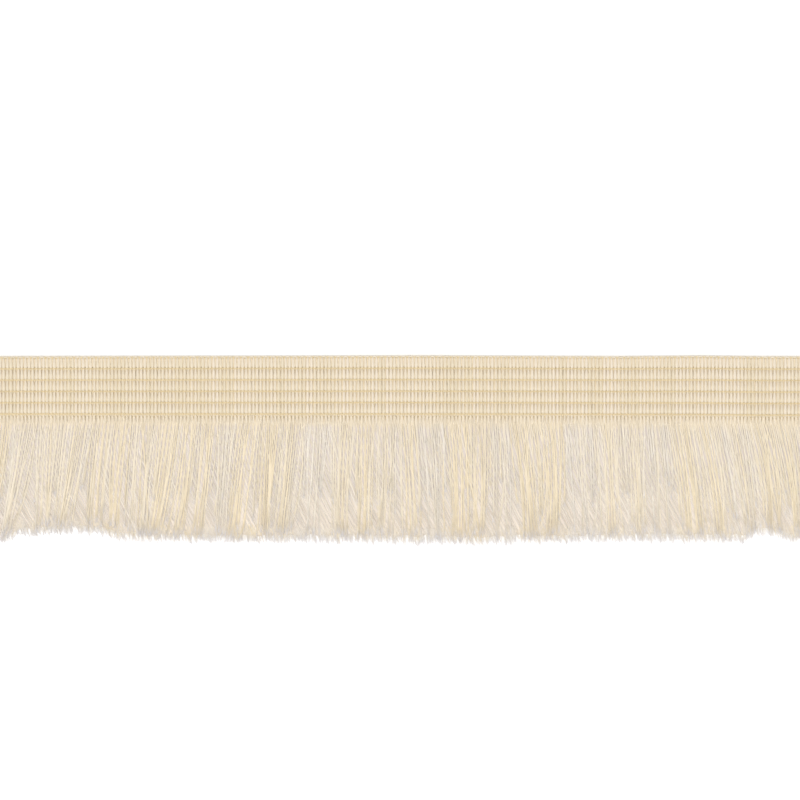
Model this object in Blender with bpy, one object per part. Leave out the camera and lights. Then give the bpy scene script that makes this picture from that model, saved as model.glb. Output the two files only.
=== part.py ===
"""A cut length of knitted brush fringe, lying face up.

One weft yarn is knitted back and forth between six rows of chain stitch, which makes the ribbed
heading. Below the heading its cut ends hang free as the fringe. X runs along the trim, Y from the
cut ends to the heading's edge and Z up. The origin is on the surface, under the middle.
"""

import math
import random

import bmesh
import bpy
import numpy as np

MM = 0.001

# Driving sizes, in millimetres
LOOP_PITCH = 2.137          # one loop of the weft: a leg down and a leg back up
LOOPS = 120
HEIGHT = 55.0               # from the heading's top edge to the longest cut ends
HEADING = 18.0              # depth of the ribbed heading
ROW_PITCH = 3.385           # from one row of chain stitch to the next
TOP_ROW = 0.7               # depth of the first row, which binds the top edge
LAST_ROW = HEADING - 0.6
FULL_BANDS = 4              # ribbed bands of the whole row pitch; the top band is narrower

# The heading's face, as heights over the surface
RIB_CREST = 1.70
RIB_VALLEY = 1.25
BOUND_CREST = 0.95          # the same rib where a chain row ties it down
BOUND_VALLEY = 0.70
EDGE_CREST = 1.15
EDGE_VALLEY = 0.95
SCALLOP = 0.25              # how far each loop bulges past the top row
EDGE_NOTCH = 0.10           # the lower edge, where it is parted from the fringe's strip

# The chain rows
THREAD_RADIUS = 0.28
THREAD_REST = 1.59          # height of the thread's middle: clear of the ribs on both sides

# The fringe
PIECE_GAP = 0.3
STRIP_DEPTH = 1.3           # the strip of the fabric's edge in which the cut ends are rooted
STRIP_HEIGHT = 1.15
STRIP_NOTCH = 0.12
ROOT_LIFT = 0.12            # the strands leave the strip just over the surface
ROOT_HEIGHT = 0.80
TIP_HEIGHT = 0.40
STRAND_GAP = 0.14
STRAND_WIDTH = (0.34, 1.25)
TIP_TAPER = 0.5
RIDGE_FALL = 0.35           # how much lower a lock's outer strands stand than its middle ones
RIDGE_SWELL = 0.7           # under 1, a lock stands full over most of its length
GATHERED_AT = 0.8           # share of the length by which a lock has drawn together
RAGGED = 0.7                # how far single cut ends fall short of the hem line
RAGGED_SEED = 11
STATIONS = (0.0, 0.22, 0.50, 0.78, 1.0)

LENGTH = LOOP_PITCH * LOOPS
LEGS = 2 * LOOPS
TOP_Y = HEIGHT / 2
STRIP_TOP = HEADING + PIECE_GAP
STRIP_FACE = STRIP_TOP + STRIP_DEPTH

# How far the top edge and the chain rows stray from straight along the trim
DRIFT_COLUMNS = ("x", "top", "rows")
DRIFT = (
    (-128.3, -0.27, 0.00),
    (-71.0, -0.15, 0.00),
    (-30.0, -0.09, 0.00),
    (6.0, 0.00, 0.00),
    (65.0, -0.24, -0.08),
    (89.0, -0.03, -0.14),
    (106.0, -0.24, -0.30),
    (128.3, -0.24, -0.30),
)

# The hem that the cut ends make: distance from the top edge
HEM_COLUMNS = ("x", "reach")
HEM = (
    (-128.3, 54.2),
    (-118.1, 54.7),
    (-112.2, 52.3),
    (-107.4, 52.6),
    (-101.2, 51.7),
    (-89.4, 51.7),
    (-83.8, 53.5),
    (-75.9, 54.1),
    (-59.0, 54.4),
    (-11.8, 54.5),
    (23.6, 55.0),
    (47.2, 54.4),
    (101.8, 54.0),
    (105.4, 52.0),
    (110.1, 52.0),
    (115.1, 53.9),
    (128.3, 54.2),
)

# The locks that the cut ends have fallen into: where each one's middle lies at the strip, half way
# down and at the hem, how far its strands draw together, and how high it stands
LOCK_COLUMNS = ("root", "middle", "tip", "gather", "height")
LOCKS = (
    (-125.1, -125.7, -126.0, 0.08, 1.3),
    (-118.1, -119.8, -121.6, 0.10, 1.7),
    (-109.8, -112.8, -116.3, 0.15, 1.4),
    (-103.6, -104.5, -105.1, 0.15, 1.4),
    (-94.5, -97.4, -100.4, 0.10, 1.4),
    (-87.4, -89.1, -90.3, 0.15, 1.6),
    (-82.1, -83.8, -85.0, 0.15, 1.9),
    (-75.9, -77.0, -77.9, 0.12, 1.5),
    (-67.3, -70.0, -73.2, 0.12, 1.7),
    (-62.0, -64.0, -66.7, 0.10, 1.6),
    (-56.7, -58.1, -60.2, 0.12, 1.7),
    (-50.8, -52.2, -53.7, 0.20, 1.1),
    (-44.3, -46.6, -48.7, 0.12, 1.8),
    (-39.0, -39.8, -40.7, 0.10, 1.8),
    (-31.9, -33.6, -35.4, 0.15, 1.5),
    (-24.2, -25.1, -25.7, 0.20, 0.9),
    (-15.9, -16.8, -17.1, 0.15, 1.4),
    (-10.0, -10.6, -11.2, 0.15, 1.7),
    (-4.1, -4.1, -4.4, 0.08, 1.4),
    (1.8, 2.7, 3.2, 0.12, 1.6),
    (8.9, 10.3, 11.2, 0.20, 1.0),
    (17.1, 18.0, 17.7, 0.12, 1.9),
    (23.6, 23.6, 23.0, 0.12, 1.7),
    (29.5, 30.4, 31.0, 0.15, 1.1),
    (35.4, 37.5, 39.0, 0.12, 1.8),
    (43.7, 44.6, 44.0, 0.12, 1.8),
    (53.1, 54.3, 55.2, 0.20, 1.0),
    (60.8, 62.0, 62.9, 0.10, 1.5),
    (69.1, 69.7, 70.8, 0.15, 1.4),
    (75.6, 77.0, 78.2, 0.15, 1.0),
    (82.6, 85.0, 86.5, 0.15, 1.7),
    (89.7, 93.0, 95.6, 0.15, 1.6),
    (98.6, 101.5, 103.9, 0.10, 1.3),
    (106.3, 109.5, 110.7, 0.15, 1.6),
    (113.9, 116.9, 118.1, 0.15, 1.7),
    (121.6, 123.4, 124.6, 0.08, 1.4),
)


def column(table, names, name):
    """One named column of a table."""
    return np.array([row[names.index(name)] for row in table])


def new_collection(name):
    collection = bpy.data.collections.new(name)
    bpy.context.scene.collection.children.link(collection)
    return collection


def yarn(name, color, roughness):
    """A Principled material for one of the yarns."""
    material = bpy.data.materials.new(name)
    material.use_nodes = True
    shader = material.node_tree.nodes["Principled BSDF"]
    shader.inputs["Base Color"].default_value = (*color, 1.0)
    shader.inputs["Roughness"].default_value = roughness
    shader.inputs["Metallic"].default_value = 0.0
    return material


def new_object(name, data, collection, material):
    obj = bpy.data.objects.new(name, data)
    data.materials.append(material)
    collection.objects.link(obj)
    return obj


def finished(bm, name, collection, material):
    """The mesh as an object, with its faces turned outwards."""
    bmesh.ops.recalc_face_normals(bm, faces=bm.faces)
    mesh = bpy.data.meshes.new(name)
    bm.to_mesh(mesh)
    bm.free()
    return new_object(name, mesh, collection, material)


def runs_across_ribs(edge):
    return edge.verts[0].co.x != edge.verts[1].co.x


def edge_y(x, depth):
    """World y of a line that lies at this depth below the top edge, with the trim's own drift."""
    xs = column(DRIFT, DRIFT_COLUMNS, "x")
    top = np.interp(x, xs, column(DRIFT, DRIFT_COLUMNS, "top"))
    rows = np.interp(x, xs, column(DRIFT, DRIFT_COLUMNS, "rows"))
    share = min(depth / HEADING, 1.0)
    return TOP_Y - depth + (1 - share) * top + share * rows


def drift_xs():
    """Where the trim bends a little, its two cut ends included."""
    return np.clip(column(DRIFT, DRIFT_COLUMNS, "x"), -LENGTH / 2, LENGTH / 2)


def chain_depths():
    """Depths of the six chain rows below the top edge, top row first."""
    lower = [LAST_ROW - ROW_PITCH * band for band in range(FULL_BANDS, -1, -1)]
    return [TOP_ROW] + lower


def face_lines():
    """The heading's lines across the ribs: (depth, crest, valley, notch), top edge first."""
    rows = chain_depths()
    lines = [(0.0, EDGE_CREST, EDGE_VALLEY, -SCALLOP)]
    for above, below in zip(rows, rows[1:]):
        lines.append((above, BOUND_CREST, BOUND_VALLEY, 0.0))
        lines.append(((above + below) / 2, RIB_CREST, RIB_VALLEY, 0.0))
    lines.append((rows[-1], BOUND_CREST, BOUND_VALLEY, 0.0))
    lines.append((HEADING, EDGE_CREST, EDGE_VALLEY, EDGE_NOTCH))
    return lines


def add_heading(collection, material):
    """The ribbed tape: a grid whose points rise along each rib and dip under each chain row."""
    lines = face_lines()
    bm = bmesh.new()
    bmesh.ops.create_grid(bm, x_segments=LEGS, y_segments=len(lines) - 1, size=1.0)
    for vert in bm.verts:
        step = round((vert.co.x + 1) / 2 * LEGS)
        line = round((1 - vert.co.y) / 2 * (len(lines) - 1))
        depth, crest, valley, notch = lines[line]
        on_crest = step % 2 == 1
        x = LENGTH * (step / LEGS - 0.5)
        y = edge_y(x, depth) + (0.0 if on_crest else notch)
        vert.co = (x * MM, y * MM, (crest if on_crest else valley) * MM)
    sides = [edge for edge in bm.edges if edge.is_boundary and runs_across_ribs(edge)]
    walls = bmesh.ops.extrude_edge_only(bm, edges=sides)["geom"]
    feet = [item for item in walls if isinstance(item, bmesh.types.BMVert)]
    for vert in feet:
        vert.co.z = 0.0
    foot_edges = [edge for edge in bm.edges if all(vert.co.z == 0.0 for vert in edge.verts)]
    bmesh.ops.bridge_loops(bm, edges=foot_edges)
    end_edges = [edge for edge in bm.edges if edge.is_boundary]
    bmesh.ops.holes_fill(bm, edges=end_edges, sides=0)
    return finished(bm, "heading", collection, material)


def add_chain_row(name, depth, collection, material):
    """One thread of chain stitch, laid across the ribs in its own dip."""
    curve = bpy.data.curves.new(name, "CURVE")
    curve.dimensions = "3D"
    curve.bevel_depth = THREAD_RADIUS * MM
    curve.bevel_resolution = 1
    curve.use_fill_caps = True
    spline = curve.splines.new("POLY")
    xs = drift_xs()
    spline.points.add(len(xs) - 1)
    for point, x in zip(spline.points, xs):
        point.co = (x * MM, edge_y(x, depth) * MM, THREAD_REST * MM, 1.0)
    return new_object(name, curve, collection, material)


def along(s, at_root, at_middle, at_tip):
    """The quadratic through three values, at s = 0, 0.5 and 1."""
    root_part = (1 - s) * (1 - 2 * s)
    tip_part = s * (2 * s - 1)
    return root_part * at_root + 4 * s * (1 - s) * at_middle + tip_part * at_tip


def lock_middles(s):
    levels = (column(LOCKS, LOCK_COLUMNS, name) for name in ("root", "middle", "tip"))
    return along(s, *levels)


def lock_edges(s):
    """Where each lock ends and the next begins, at this share of the strands' length."""
    middles = lock_middles(s)
    inner = (middles[1:] + middles[:-1]) / 2
    return np.concatenate(([-LENGTH / 2], inner, [LENGTH / 2]))


def in_lock(x, s):
    """(lock number, place across it from -1 to 1) of each x at this share of the length."""
    edges = lock_edges(s)
    middles = lock_middles(s)
    lock = np.clip(np.searchsorted(edges, x) - 1, 0, len(LOCKS) - 1)
    side = np.where(x < middles[lock], middles[lock] - edges[lock], edges[lock + 1] - middles[lock])
    return lock, np.clip((x - middles[lock]) / side, -1, 1)


def strand_xs():
    """The x of every strand at every station: the strands draw together inside their locks."""
    roots = LENGTH * ((np.arange(LEGS) + 0.5) / LEGS - 0.5)
    lock, place = in_lock(roots, 0.0)
    gather = column(LOCKS, LOCK_COLUMNS, "gather")[lock]
    rows = []
    for s in STATIONS:
        edges = lock_edges(s)
        middles = lock_middles(s)[lock]
        side = np.where(place < 0, middles - edges[lock], edges[lock + 1] - middles)
        drawn = 1 - gather * math.sin(math.pi / 2 * min(s / GATHERED_AT, 1.0)) ** 2
        rows.append(middles + place * side * drawn)
    return np.array(rows).T


def strand_widths(xs):
    """Each strand is as wide as the room between its neighbours lets it be."""
    room = np.diff(xs, axis=0)
    padded = np.vstack([room[:1], room, room[-1:]])
    widths = np.minimum(padded[:-1], padded[1:]) - STRAND_GAP
    widths = np.clip(widths, *STRAND_WIDTH)
    widths[:, -1] *= TIP_TAPER
    return widths


def pile_height(x, s):
    """How high a strand's ridge stands here: low at strip and hem, highest inside its lock."""
    lock, place = in_lock(np.array([x]), s)
    height = column(LOCKS, LOCK_COLUMNS, "height")[lock[0]]
    full = height * (1 - RIDGE_FALL * place[0] ** 2)
    end = ROOT_HEIGHT if s < 0.5 else TIP_HEIGHT
    return end + (full - end) * abs(math.sin(math.pi * s)) ** RIDGE_SWELL


def strand_reaches(tips):
    """How far from the top edge each cut end reaches: the hem line, less a little here and there."""
    draw = random.Random(RAGGED_SEED)
    hem = np.interp(tips, column(HEM, HEM_COLUMNS, "x"), column(HEM, HEM_COLUMNS, "reach"))
    ragged = np.array([RAGGED * draw.random() for _ in tips])
    longest = int(np.argmax(hem))
    ragged[longest] = hem[longest] - HEIGHT
    return hem - ragged


def strand_sections(xs, widths, reach):
    """The three corners of one strand at each station: two on the surface and a ridge over them."""
    root_y = edge_y(xs[0], STRIP_FACE)
    tip_y = TOP_Y - reach
    sections = []
    for s, x, width in zip(STATIONS, xs, widths):
        y = root_y + s * (tip_y - root_y)
        floor = ROOT_LIFT if s == 0.0 else 0.0
        ridge = pile_height(x, s)
        sections.append(((x - width / 2, y, floor), (x + width / 2, y, floor), (x, y, ridge)))
    return sections


def strip_section(step):
    """The strip's four corners between two legs: notched deeper between loops than within one."""
    x = LENGTH * (step / LEGS - 0.5)
    within_loop = step % 2 == 1
    notch = 0.0 if within_loop else STRIP_NOTCH
    top = STRIP_HEIGHT - notch
    back = edge_y(x, STRIP_TOP + notch)
    face = edge_y(x, STRIP_FACE - notch)
    return ((x, back, 0.0), (x, back, top), (x, face, top), (x, face, 0.0))


def ring(bm, corners):
    return [bm.verts.new([value * MM for value in corner]) for corner in corners]


def skin(bm, first, second, sides):
    """Faces between two rings, on the given sides of them."""
    for side in sides:
        follow = (side + 1) % len(first)
        bm.faces.new((first[side], first[follow], second[follow], second[side]))


def root_wall(bm, near, far, root):
    """The strip's face round one strand: from the corners at both sides to the strand's root."""
    left, right, ridge = root
    bm.faces.new((near[3], far[3], right, left))
    bm.faces.new((far[3], far[2], ridge, right))
    bm.faces.new((far[2], near[2], ridge))
    bm.faces.new((near[2], near[3], left, ridge))


def add_fringe(collection, material):
    """The strip of the fabric's edge with every cut end rooted in it, as one piece."""
    xs = strand_xs()
    widths = strand_widths(xs)
    reaches = strand_reaches(xs[:, -1])
    bm = bmesh.new()
    strip = [ring(bm, strip_section(step)) for step in range(LEGS + 1)]
    bm.faces.new(strip[0])
    bm.faces.new(strip[-1])
    for number in range(LEGS):
        near, far = strip[number], strip[number + 1]
        skin(bm, near, far, sides=(0, 1, 3))
        sections = strand_sections(xs[number], widths[number], reaches[number])
        rings = [ring(bm, section) for section in sections]
        root_wall(bm, near, far, rings[0])
        for first, second in zip(rings, rings[1:]):
            skin(bm, first, second, sides=(0, 1, 2))
        bm.faces.new(rings[-1])
    return finished(bm, "fringe", collection, material)


def main():
    for obj in list(bpy.data.objects):
        bpy.data.objects.remove(obj, do_unlink=True)
    parts = new_collection("brush_fringe")
    cream = yarn("cream_weft_yarn", (0.78, 0.67, 0.50), 0.85)
    tan = yarn("tan_chain_thread", (0.62, 0.49, 0.29), 0.75)
    loose = yarn("cream_cut_yarn", (0.80, 0.70, 0.55), 0.9)
    add_heading(parts, cream)
    for number, depth in enumerate(chain_depths(), start=1):
        add_chain_row(f"chain_row_{number}", depth, parts, tan)
    add_fringe(parts, loose)


main()
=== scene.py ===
# %% [markdown]
# # A cut length of knitted brush fringe
#
# Brush fringe is made on a crochet knitting machine. One thick, soft weft yarn is laid back and
# forth across the trim, and rows of thin chain stitch tie it down. At the top edge the weft turns
# round the last chain, and the part between the chains is the ribbed heading that is sewn on.
# Below the last chain the weft hangs free. It is cut there, and the cut ends loosen into fibres.
#
# The solid model is loaded first and is never moved. Everything below is built round it.

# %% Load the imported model
import math

import bpy
import numpy as np
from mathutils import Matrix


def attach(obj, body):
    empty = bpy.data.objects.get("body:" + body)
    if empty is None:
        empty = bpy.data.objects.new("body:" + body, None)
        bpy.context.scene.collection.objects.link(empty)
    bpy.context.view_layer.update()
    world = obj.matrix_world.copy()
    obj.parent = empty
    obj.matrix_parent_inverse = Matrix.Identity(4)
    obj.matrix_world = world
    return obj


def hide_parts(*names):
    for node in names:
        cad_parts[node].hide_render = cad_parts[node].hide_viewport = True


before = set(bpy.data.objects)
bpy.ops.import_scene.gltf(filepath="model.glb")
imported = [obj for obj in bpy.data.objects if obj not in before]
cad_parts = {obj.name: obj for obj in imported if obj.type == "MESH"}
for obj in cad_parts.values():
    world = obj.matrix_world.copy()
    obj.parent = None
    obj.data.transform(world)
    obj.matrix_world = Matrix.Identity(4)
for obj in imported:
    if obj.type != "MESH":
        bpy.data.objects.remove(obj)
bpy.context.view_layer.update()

# %% [markdown]
# ## The trim's own sizes
#
# These are the sizes that the solid model is driven by. They are repeated here, in millimetres, so
# that every thread can be laid where its solid is. The tables say how the trim strays from straight,
# where the hem of cut ends runs, and how the fibres have fallen into locks.

# %% Sizes of the knitting
MM = 0.001
LOOPS = 120
LOOP_PITCH = 2.137             # one loop of the weft: a leg down and a leg back up
LEGS = 2 * LOOPS
LEG_PITCH = LOOP_PITCH / 2
LENGTH = LOOP_PITCH * LOOPS
HEIGHT = 55.0
HEADING = 18.0
TOP_Y = HEIGHT / 2
CHAIN_DEPTHS = (0.7, 3.86, 7.245, 10.63, 14.015, 17.4)
STRIP_FACE = 19.6              # below this depth the legs begin to drift into locks
print(f"{LEGS} legs, one every {LEG_PITCH:.3f} mm, over {LENGTH:.1f} mm")

# %% The trim's drift from straight, and its hem
DRIFT_COLUMNS = ("x", "top", "rows")
DRIFT = (
    (-128.3, -0.27, 0.00),
    (-71.0, -0.15, 0.00),
    (-30.0, -0.09, 0.00),
    (6.0, 0.00, 0.00),
    (65.0, -0.24, -0.08),
    (89.0, -0.03, -0.14),
    (106.0, -0.24, -0.30),
    (128.3, -0.24, -0.30),
)
HEM_COLUMNS = ("x", "reach")
HEM = (
    (-128.3, 54.2),
    (-118.1, 54.7),
    (-112.2, 52.3),
    (-107.4, 52.6),
    (-101.2, 51.7),
    (-89.4, 51.7),
    (-83.8, 53.5),
    (-75.9, 54.1),
    (-59.0, 54.4),
    (-11.8, 54.5),
    (23.6, 55.0),
    (47.2, 54.4),
    (101.8, 54.0),
    (105.4, 52.0),
    (110.1, 52.0),
    (115.1, 53.9),
    (128.3, 54.2),
)

# %% The locks: x at the root, half way down and at the hem, how far each gathers, its height
LOCK_COLUMNS = ("root", "middle", "tip", "gather", "height")
LOCKS = (
    (-125.1, -125.7, -126.0, 0.08, 1.3),
    (-118.1, -119.8, -121.6, 0.10, 1.7),
    (-109.8, -112.8, -116.3, 0.15, 1.4),
    (-103.6, -104.5, -105.1, 0.15, 1.4),
    (-94.5, -97.4, -100.4, 0.10, 1.4),
    (-87.4, -89.1, -90.3, 0.15, 1.6),
    (-82.1, -83.8, -85.0, 0.15, 1.9),
    (-75.9, -77.0, -77.9, 0.12, 1.5),
    (-67.3, -70.0, -73.2, 0.12, 1.7),
    (-62.0, -64.0, -66.7, 0.10, 1.6),
    (-56.7, -58.1, -60.2, 0.12, 1.7),
    (-50.8, -52.2, -53.7, 0.20, 1.1),
    (-44.3, -46.6, -48.7, 0.12, 1.8),
    (-39.0, -39.8, -40.7, 0.10, 1.8),
    (-31.9, -33.6, -35.4, 0.15, 1.5),
    (-24.2, -25.1, -25.7, 0.20, 0.9),
    (-15.9, -16.8, -17.1, 0.15, 1.4),
    (-10.0, -10.6, -11.2, 0.15, 1.7),
    (-4.1, -4.1, -4.4, 0.08, 1.4),
    (1.8, 2.7, 3.2, 0.12, 1.6),
    (8.9, 10.3, 11.2, 0.20, 1.0),
    (17.1, 18.0, 17.7, 0.12, 1.9),
    (23.6, 23.6, 23.0, 0.12, 1.7),
    (29.5, 30.4, 31.0, 0.15, 1.1),
    (35.4, 37.5, 39.0, 0.12, 1.8),
    (43.7, 44.6, 44.0, 0.12, 1.8),
    (53.1, 54.3, 55.2, 0.20, 1.0),
    (60.8, 62.0, 62.9, 0.10, 1.5),
    (69.1, 69.7, 70.8, 0.15, 1.4),
    (75.6, 77.0, 78.2, 0.15, 1.0),
    (82.6, 85.0, 86.5, 0.15, 1.7),
    (89.7, 93.0, 95.6, 0.15, 1.6),
    (98.6, 101.5, 103.9, 0.10, 1.3),
    (106.3, 109.5, 110.7, 0.15, 1.6),
    (113.9, 116.9, 118.1, 0.15, 1.7),
    (121.6, 123.4, 124.6, 0.08, 1.4),
)
print(f"{len(LOCKS)} locks")


# %% Reading the tables
def column(table, names, name):
    """One named column of a table."""
    return np.array([row[names.index(name)] for row in table])


def at_depth(x, depth):
    """World y, in millimetres, of the place this deep below the top edge, with the trim's drift."""
    xs = column(DRIFT, DRIFT_COLUMNS, "x")
    top = np.interp(x, xs, column(DRIFT, DRIFT_COLUMNS, "top"))
    rows = np.interp(x, xs, column(DRIFT, DRIFT_COLUMNS, "rows"))
    share = np.minimum(depth / HEADING, 1.0)
    return TOP_Y - depth + (1 - share) * top + share * rows


def leg_x(leg):
    """The x of a leg's middle, with the legs counted from the left."""
    return LENGTH * ((leg + 0.5) / LEGS - 0.5)


def hem_at(x):
    return np.interp(x, column(HEM, HEM_COLUMNS, "x"), column(HEM, HEM_COLUMNS, "reach"))


# %% [markdown]
# ## Camera, floor and light
#
# The trim was seen from straight above, lying on white paper under a wide, soft lamp that stands
# beyond its cut ends. A lens of 100 mm on a 36 mm frame keeps the trim's two ends from leaning
# away. The lamp does one important thing: each leg is bright where it swells above a chain row and
# shaded where it comes out under one, and that is what makes the heading read as knitted.

# %% Camera
PICTURE_WIDTH = 236.1          # millimetres of trim across the picture
PICTURE_CENTRE_Y = 14.24
TRIM_MIDDLE_Z = 1.5
LENS = 100.0
SENSOR = 36.0

camera_data = bpy.data.cameras.new("overhead")
camera_data.lens = LENS
camera_data.sensor_width = SENSOR
camera = bpy.data.objects.new("overhead", camera_data)
bpy.context.scene.collection.objects.link(camera)
distance = PICTURE_WIDTH * LENS / SENSOR
camera.location = (0.0, PICTURE_CENTRE_Y * MM, (TRIM_MIDDLE_Z + distance) * MM)
bpy.context.scene.camera = camera
print(f"camera {distance:.0f} mm over the trim")


# %% Colours: sRGB hex to the linear values that Blender's sockets take
def linear(colour):
    """'#C8A46E' as linear red, green, blue and alpha."""
    parts = [int(colour[at:at + 2], 16) / 255 for at in (1, 3, 5)]
    return (*[p / 12.92 if p <= 0.04045 else ((p + 0.055) / 1.055) ** 2.4 for p in parts], 1.0)


# %% One helper for every node in every tree
def add(tree, kind, *ins, named=None, **settings):
    """Adds a node. The inputs are given in order, or in named by name or number. A node stands
    for its first output, and None leaves an input as it is."""
    node = tree.nodes.new(kind)
    for setting, value in settings.items():
        setattr(node, setting, value)
    in_order = [(key, value) for key, value in enumerate(ins) if value is not None]
    for key, value in in_order + list((named or {}).items()):
        source = value.outputs[0] if isinstance(value, bpy.types.Node) else value
        if isinstance(source, bpy.types.NodeSocket):
            tree.links.new(source, node.inputs[key])
        else:
            node.inputs[key].default_value = source
    return node


# %% Starting a material
def new_material(name, **values):
    """A material with one Principled shader, and constants set on its own sockets."""
    material = bpy.data.materials.new(name)
    material.use_nodes = True
    shader = material.node_tree.nodes["Principled BSDF"]
    for socket, value in values.items():
        shader.inputs[socket.replace("_", " ")].default_value = value
    return material, material.node_tree, shader


# %% Floor: matt white paper
# Paper scatters light evenly, and a faint glow of its own stands for the light that a white table
# sends back up from beyond the picture.
PAPER = "#F7F6F4"
PAPER_GLOW = "#FFFFFF"
PAPER_GRAIN = 900.0            # grains to the metre, about 1.1 mm each
paper, tree, shader = new_material(
    "matt_white_paper", Base_Color=linear(PAPER), Roughness=0.9,
    Emission_Color=linear(PAPER_GLOW), Emission_Strength=0.06,
)
where = add(tree, "ShaderNodeTexCoord").outputs["Object"]
grain = add(tree, "ShaderNodeTexNoise", where, named={"Scale": PAPER_GRAIN, "Detail": 2.0})
bump = add(tree, "ShaderNodeBump", named={"Height": grain, "Strength": 0.03, "Distance": 0.1 * MM})
tree.links.new(bump.outputs[0], shader.inputs["Normal"])

FLOOR_SIDE = 6.0
bpy.ops.mesh.primitive_plane_add(size=FLOOR_SIDE)
floor = bpy.context.object
floor.name = "floor"
floor.data.materials.append(paper)
print("floor side:", FLOOR_SIDE, "m")

# %% Light: one wide lamp beyond the cut ends, and an even white room
ROOM_LIGHT = 1.0
LAMP_WATTS = 11.5
LAMP_SIDE = 0.9
LAMP_PLACE = (-0.25, -0.50, 1.40)

world = bpy.data.worlds.new("white_room")
world.use_nodes = True
room = world.node_tree.nodes["Background"].inputs
room["Color"].default_value = (1.0, 1.0, 1.0, 1.0)
room["Strength"].default_value = ROOM_LIGHT
bpy.context.scene.world = world

lamp_data = bpy.data.lights.new("wide_lamp", "AREA")
lamp_data.size = LAMP_SIDE
lamp_data.energy = LAMP_WATTS
lamp = bpy.data.objects.new("wide_lamp", lamp_data)
lamp.location = LAMP_PLACE
to_trim = -lamp.location
lamp.rotation_euler = to_trim.to_track_quat("-Z", "Y").to_euler()
bpy.context.scene.collection.objects.link(lamp)
bpy.context.scene.view_settings.view_transform = "Standard"
print("lamp stands", round(lamp.location.length, 2), "m away")

# %% [markdown]
# ## From guide lines to yarn
#
# Yarn follows a path and repeats hundreds of times, which is what Geometry Nodes are for. Each
# yarn here starts as a guide: a mesh of plain edges that says where the yarn runs, with numbers
# kept on its points, such as how thick the yarn is there. A node tree then turns the guide into
# threads or fibres. The result is stored as a plain mesh, and the guide is thrown away.

# %% Guides
def guide_lines(name, lines, numbers):
    """A mesh of separate poly lines in millimetres, with the named numbers kept on its points."""
    points = np.concatenate(lines) * MM
    ends = np.cumsum([len(line) for line in lines])
    steps = np.arange(len(points) - 1)
    steps = steps[~np.isin(steps, ends - 1)]
    mesh = bpy.data.meshes.new(name)
    mesh.from_pydata(points.tolist(), np.column_stack([steps, steps + 1]).tolist(), [])
    for number, values in numbers.items():
        attribute = mesh.attributes.new(number, "FLOAT", "POINT")
        attribute.data.foreach_set("value", np.concatenate(values).astype(np.float32))
    guide = bpy.data.objects.new(name, mesh)
    bpy.context.scene.collection.objects.link(guide)
    return guide


def new_tree(name, sizes):
    """A Geometry Nodes tree with a geometry input, the named inputs and a geometry output."""
    kinds = {int: "NodeSocketInt", float: "NodeSocketFloat", str: "NodeSocketMaterial"}
    tree = bpy.data.node_groups.new(name, "GeometryNodeTree")
    tree.interface.new_socket("Geometry", in_out="OUTPUT", socket_type="NodeSocketGeometry")
    tree.interface.new_socket("Guide", in_out="INPUT", socket_type="NodeSocketGeometry")
    for size, usual in sizes.items():
        socket = tree.interface.new_socket(size, in_out="INPUT", socket_type=kinds[type(usual)])
        if not isinstance(usual, str):
            socket.default_value = usual
    return tree, add(tree, "NodeGroupInput").outputs


def end_tree(tree, mesh, material):
    """The closing steps of every tree: smooth faces, made real, with their material."""
    smooth = add(tree, "GeometryNodeSetShadeSmooth", mesh)
    real = add(tree, "GeometryNodeRealizeInstances", smooth)
    painted = add(tree, "GeometryNodeSetMaterial", real, None, material)
    add(tree, "NodeGroupOutput", painted)


def grown(name, guide, tree, **inputs):
    """The piece that a tree grows from a guide, as an object with a plain mesh of its own."""
    modifier = guide.modifiers.new(tree.name, "NODES")
    modifier.node_group = tree
    for item in tree.interface.items_tree:
        key = item.name.replace(" ", "_")
        if item.in_out == "INPUT" and key in inputs:
            modifier[item.identifier] = inputs[key]
    shapes = bpy.context.evaluated_depsgraph_get()
    mesh = bpy.data.meshes.new_from_object(
        guide.evaluated_get(shapes), preserve_all_data_layers=True, depsgraph=shapes
    )
    mesh.name = name
    bpy.data.objects.remove(guide)
    piece = bpy.data.objects.new(name, mesh)
    bpy.context.scene.collection.objects.link(piece)
    mesh.calc_loop_triangles()
    print(f"{name}: {len(mesh.loop_triangles)} triangles")
    return piece


# %% [markdown]
# ## The yarns
#
# The weft is a soft spun viscose: matt, cream, and a little uneven where more or fewer fibres were
# drawn into it. The chain thread is a fine tan thread with a tighter twist, so it is darker and
# has a slight gleam. The loosened fibres are the same viscose, and their colour goes by how they
# lie, which is painted light: warm where many lie together and scatter light among them, pale where
# light passes between them, and greyer with painted shade in the grooves of the mat underneath.

# %% Weft yarn: spun viscose
WEFT = "#D8CCBA"
WEFT_DEEP = "#D1C4AC"
YARN_UNEVENNESS = 0.9          # millimetres from one thick or pale place to the next
FIBRE_GRAIN = 0.12             # the fibres in the yarn, drawn as coarse as they need to show
weft_yarn, tree, shader = new_material(
    "spun_viscose_yarn", Roughness=0.9, Sheen_Weight=0.12, Sheen_Roughness=0.5
)
where = add(tree, "ShaderNodeTexCoord").outputs["Object"]
uneven = add(tree, "ShaderNodeTexNoise", where, named={"Scale": 1 / (YARN_UNEVENNESS * MM)})
of_leg = add(tree, "ShaderNodeAttribute", attribute_name="tint").outputs["Fac"]
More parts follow.
